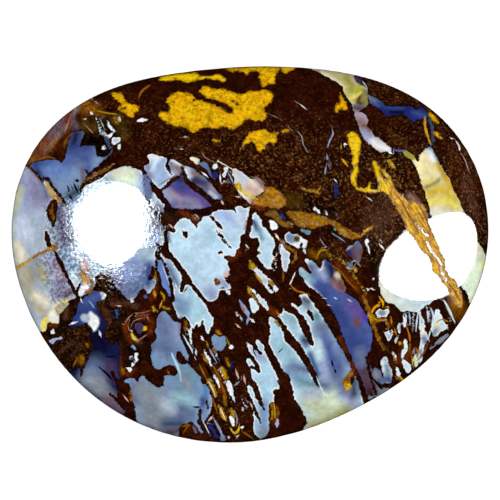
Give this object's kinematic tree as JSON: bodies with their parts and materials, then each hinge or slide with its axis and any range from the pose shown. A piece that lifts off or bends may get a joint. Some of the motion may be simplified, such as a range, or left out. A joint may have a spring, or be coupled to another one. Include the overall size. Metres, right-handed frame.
{
  "type": "boulder opal cabochon",
  "caption": "Polished freeform cabochon of boulder opal: a low dome over a rounded girdle, with a flat ground back to rest on or glue down.",
  "frame": {"origin": "on the flat back, under the middle of the outline's box", "axes": "+X along the stone's length towards its blunt right end, +Y across its width towards the ironstone side, +Z out of the dome"},
  "size_m": [0.03, 0.0236, 0.0065],
  "materials": {
    "polished_boulder_opal": "glossy polish over dark brown ironstone, ochre patches and veined pale blue opal"
  },
  "bodies": {
    "root": {"boulder_opal_cabochon": "polished_boulder_opal"}
  },
  "joints": []
}
